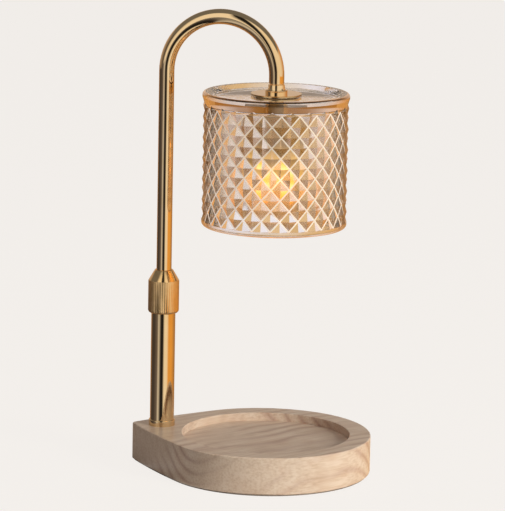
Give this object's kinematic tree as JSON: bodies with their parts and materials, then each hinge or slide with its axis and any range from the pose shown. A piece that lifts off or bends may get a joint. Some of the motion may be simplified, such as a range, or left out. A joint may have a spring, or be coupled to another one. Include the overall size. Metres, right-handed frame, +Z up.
{
  "type": "candle warmer lamp",
  "caption": "Table lamp that warms a jar candle: teardrop wooden base with a round recess, telescopic swan-neck pole with a knurled locking collar, and a faceted amber glass shade.",
  "frame": {"origin": "middle of the underside of the base, on the surface it stands on", "axes": "+Z up, +X from the pole towards the candle recess, +Y towards the side with the cord inlet"},
  "size_m": [0.161, 0.139, 0.3058],
  "materials": {
    "base_wood": "semi-gloss lacquer",
    "foot_foam": "matte",
    "gold_polished": "polished",
    "gold_satin": "knurled satin",
    "weight_iron": "as cast",
    "zinc_steel": "zinc plated",
    "black_rubber": "matte",
    "clear_silicone": "translucent satin",
    "white_nylon": "satin",
    "plain_brass": "turned",
    "amber_glass": "pressed, glossy",
    "white_ceramic": "matte",
    "lead_sleeve": "matte",
    "bulb_mirror": "coated",
    "clear_glass": "clear",
    "tungsten": "glowing wire"
  },
  "bodies": {
    "base": {"wood_base": "base_wood", "base_pad": "foot_foam", "weight_plate": "weight_iron", "weight_screws": "zinc_steel", "cable_grommet": "black_rubber", "base_ring": "gold_polished", "lower_tube": "gold_polished", "tube_insert": "plain_brass", "stem_nipple": "zinc_steel", "stem_washer": "zinc_steel", "stem_nut": "zinc_steel", "collet": "plain_brass"},
    "collar": {"locking_collar": "gold_satin"},
    "guide": {"guide_bush": "white_nylon"},
    "column": {"gooseneck_tube": "gold_polished", "guide_clips": "zinc_steel", "holder_leads": "lead_sleeve", "lead_splices": "zinc_steel", "neck_ferrule": "gold_polished", "stepped_nut": "gold_polished", "top_washer": "gold_polished", "upper_gasket": "clear_silicone", "glass_shade": "amber_glass", "lower_gasket": "clear_silicone", "inner_washer": "zinc_steel", "lock_nut": "zinc_steel", "shade_nipple": "zinc_steel", "holder_cup": "gold_polished", "holder_screws": "zinc_steel", "lamp_holder": "white_ceramic", "holder_contacts": "plain_brass"},
    "bulb": {"bulb_base": "white_ceramic", "bulb_pins": "zinc_steel", "bulb_reflector": "bulb_mirror", "bulb_lens": "clear_glass", "bulb_capsule": "clear_glass", "bulb_filament": "tungsten"}
  },
  "joints": [
    {"name": "collar_turn", "type": "hinge", "parent": "base", "child": "collar", "pos_m": [-0.0605, 0, 0.116], "axis": [0, 0, 1], "range_deg": [0, 270]},
    {"name": "height_slide", "type": "slide", "parent": "base", "child": "guide", "axis": [0, 0, 1], "range_m": [-0.01, 0.035]},
    {"name": "neck_swivel", "type": "hinge", "parent": "guide", "child": "column", "pos_m": [-0.0605, 0, 0.058], "axis": [0, 0, 1], "range_deg": [-90, 90]},
    {"name": "bulb_twist", "type": "hinge", "parent": "column", "child": "bulb", "pos_m": [0.0135, 0, 0.2178], "axis": [0, 0, 1], "range_deg": [-35, 0]}
  ]
}
